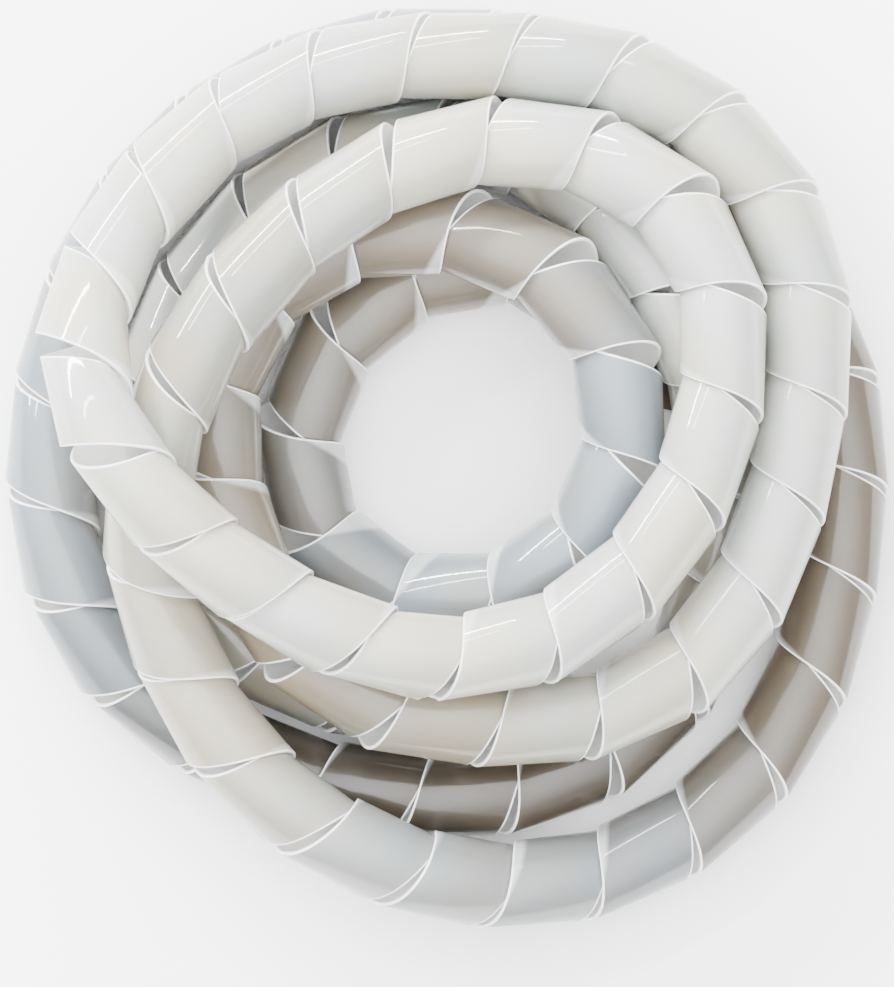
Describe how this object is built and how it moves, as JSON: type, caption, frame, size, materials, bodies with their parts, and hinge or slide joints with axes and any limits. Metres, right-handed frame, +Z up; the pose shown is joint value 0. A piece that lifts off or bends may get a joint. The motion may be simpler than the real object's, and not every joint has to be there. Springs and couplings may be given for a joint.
{
  "type": "spiral cable wrap",
  "caption": "Translucent white spiral-cut plastic tube for bundling cables, lying as a loose coil of overlapping turns round an open eye",
  "frame": {"origin": "centre of the footprint of the coil, on the surface that it lies on", "axes": "+Z up, across the coil's flat; +Y to the top of the picture; +X to its right"},
  "size_m": [0.238, 0.2476, 0.0844],
  "materials": {
    "polyethylene": "milky translucent extruded low-density polyethylene, smooth and softly glossy, with bright cut edges"
  },
  "bodies": {
    "root": {"spiral_wrap": "polyethylene"}
  },
  "joints": []
}
